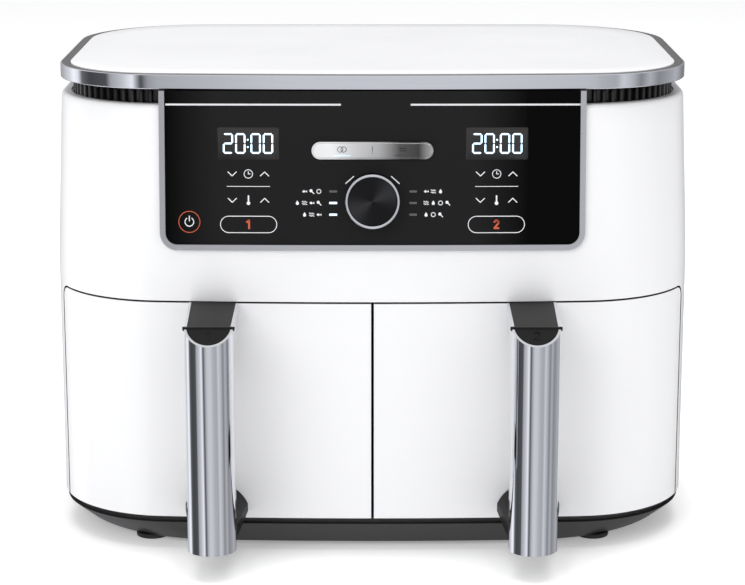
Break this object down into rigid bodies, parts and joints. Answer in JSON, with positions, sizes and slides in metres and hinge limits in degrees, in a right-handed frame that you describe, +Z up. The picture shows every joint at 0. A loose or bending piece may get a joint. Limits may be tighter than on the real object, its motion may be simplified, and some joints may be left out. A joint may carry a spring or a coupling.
{
  "type": "air fryer",
  "caption": "Countertop air fryer with two side-by-side drawers, a tall white housing, a black control panel with dial and rocker, and a dark base.",
  "frame": {"origin": "on the surface that the feet stand on, under the middle of the whole object's box", "axes": "+Z up, the drawers open towards -Y, +X to the right seen from the front"},
  "size_m": [0.4226, 0.3594, 0.315],
  "materials": {
    "white_housing": "satin",
    "white_drawer": "satin",
    "black_plastic": "matte",
    "base_plastic": "satin",
    "rim_grey": "satin",
    "bright_metal": "polished",
    "silver_trim": "satin",
    "panel_glass": "gloss",
    "chamber_steel": "brushed",
    "pan_coating": "non-stick coat",
    "heater_metal": "oxidised",
    "motor_metal": "zinc plated",
    "fan_metal": "stamped",
    "shaft_steel": "ground",
    "screw_steel": "zinc plated",
    "board": "solder mask",
    "silicone": "matte",
    "foot_rubber": "matte",
    "fan_plastic": "matte"
  },
  "bodies": {
    "root": {"upper_shell": "white_housing", "intake_neck": "black_plastic", "top_rim": "rim_grey", "rim_band": "bright_metal", "top_panel": "white_housing", "base_tray": "base_plastic", "rubber_feet": "foot_rubber", "rear_cover": "black_plastic", "case_screws": "screw_steel", "exhaust_duct": "black_plastic", "cord_gland": "black_plastic", "front_frame": "black_plastic", "motor_deck": "chamber_steel", "temperature_probes": "shaft_steel", "power_board": "board", "panel_fascia": "panel_glass", "panel_frame": "silver_trim", "dial_encoder": "black_plastic", "rocker_bracket": "black_plastic", "rocker_switches": "black_plastic", "control_board": "board", "display_modules": "black_plastic", "runner_rails": "chamber_steel", "chamber_1": "chamber_steel", "fan_guard_1": "chamber_steel", "heating_element_1": "heater_metal", "motor_1": "motor_metal", "chamber_2": "chamber_steel", "fan_guard_2": "chamber_steel", "heating_element_2": "heater_metal", "motor_2": "motor_metal"},
    "dial_push": {"dial_sleeve": "silver_trim"},
    "dial": {"dial_knob": "panel_glass", "dial_ring": "bright_metal", "dial_stem": "shaft_steel"},
    "rocker": {"mode_rocker": "silver_trim"},
    "drawer_1": {"drawer_front_1": "white_drawer", "drawer_carrier_1": "black_plastic", "pan_1": "pan_coating", "handle_shell_1": "bright_metal", "handle_core_1": "black_plastic", "handle_cap_1": "black_plastic", "handle_screws_1": "screw_steel"},
    "crisper_1": {"crisper_plate_1": "pan_coating", "crisper_bumpers_1": "silicone"},
    "fan_1": {"motor_shaft_1": "shaft_steel", "hot_air_fan_1": "fan_metal", "cooling_fan_1": "fan_plastic"},
    "drawer_2": {"drawer_front_2": "white_drawer", "drawer_carrier_2": "black_plastic", "pan_2": "pan_coating", "handle_shell_2": "bright_metal", "handle_core_2": "black_plastic", "handle_cap_2": "black_plastic", "handle_screws_2": "screw_steel"},
    "crisper_2": {"crisper_plate_2": "pan_coating", "crisper_bumpers_2": "silicone"},
    "fan_2": {"motor_shaft_2": "shaft_steel", "hot_air_fan_2": "fan_metal", "cooling_fan_2": "fan_plastic"}
  },
  "joints": [
    {"name": "drawer_1_slide", "type": "slide", "parent": "root", "child": "drawer_1", "axis": [0, -1, 0], "range_m": [0, 0.165]},
    {"name": "crisper_1_lift", "type": "slide", "parent": "drawer_1", "child": "crisper_1", "axis": [0, 0, 1], "range_m": [0, 0.1]},
    {"name": "fan_1_spin", "type": "hinge", "parent": "root", "child": "fan_1", "pos_m": [-0.104, 0.05575, 0.23], "axis": [0, 0, 1], "continuous": true},
    {"name": "drawer_2_slide", "type": "slide", "parent": "root", "child": "drawer_2", "axis": [0, -1, 0], "range_m": [0, 0.165]},
    {"name": "crisper_2_lift", "type": "slide", "parent": "drawer_2", "child": "crisper_2", "axis": [0, 0, 1], "range_m": [0, 0.1]},
    {"name": "fan_2_spin", "type": "hinge", "parent": "root", "child": "fan_2", "pos_m": [0.104, 0.05575, 0.23], "axis": [0, 0, 1], "continuous": true},
    {"name": "dial_press", "type": "slide", "parent": "root", "child": "dial_push", "axis": [0, 0.9934, -0.1149], "range_m": [0, 0.0008], "stiffness_N_per_m": 1500},
    {"name": "dial_turn", "type": "hinge", "parent": "dial_push", "child": "dial", "pos_m": [0, -0.11437, 0.2345], "axis": [0, -0.9934, 0.1149], "continuous": true},
    {"name": "rocker_tilt", "type": "hinge", "parent": "root", "child": "rocker", "pos_m": [0, -0.10273, 0.26547], "axis": [0, 0.1149, 0.9934], "range_deg": [-1.8, 1.8], "stiffness_Nm_per_rad": 3}
  ]
}
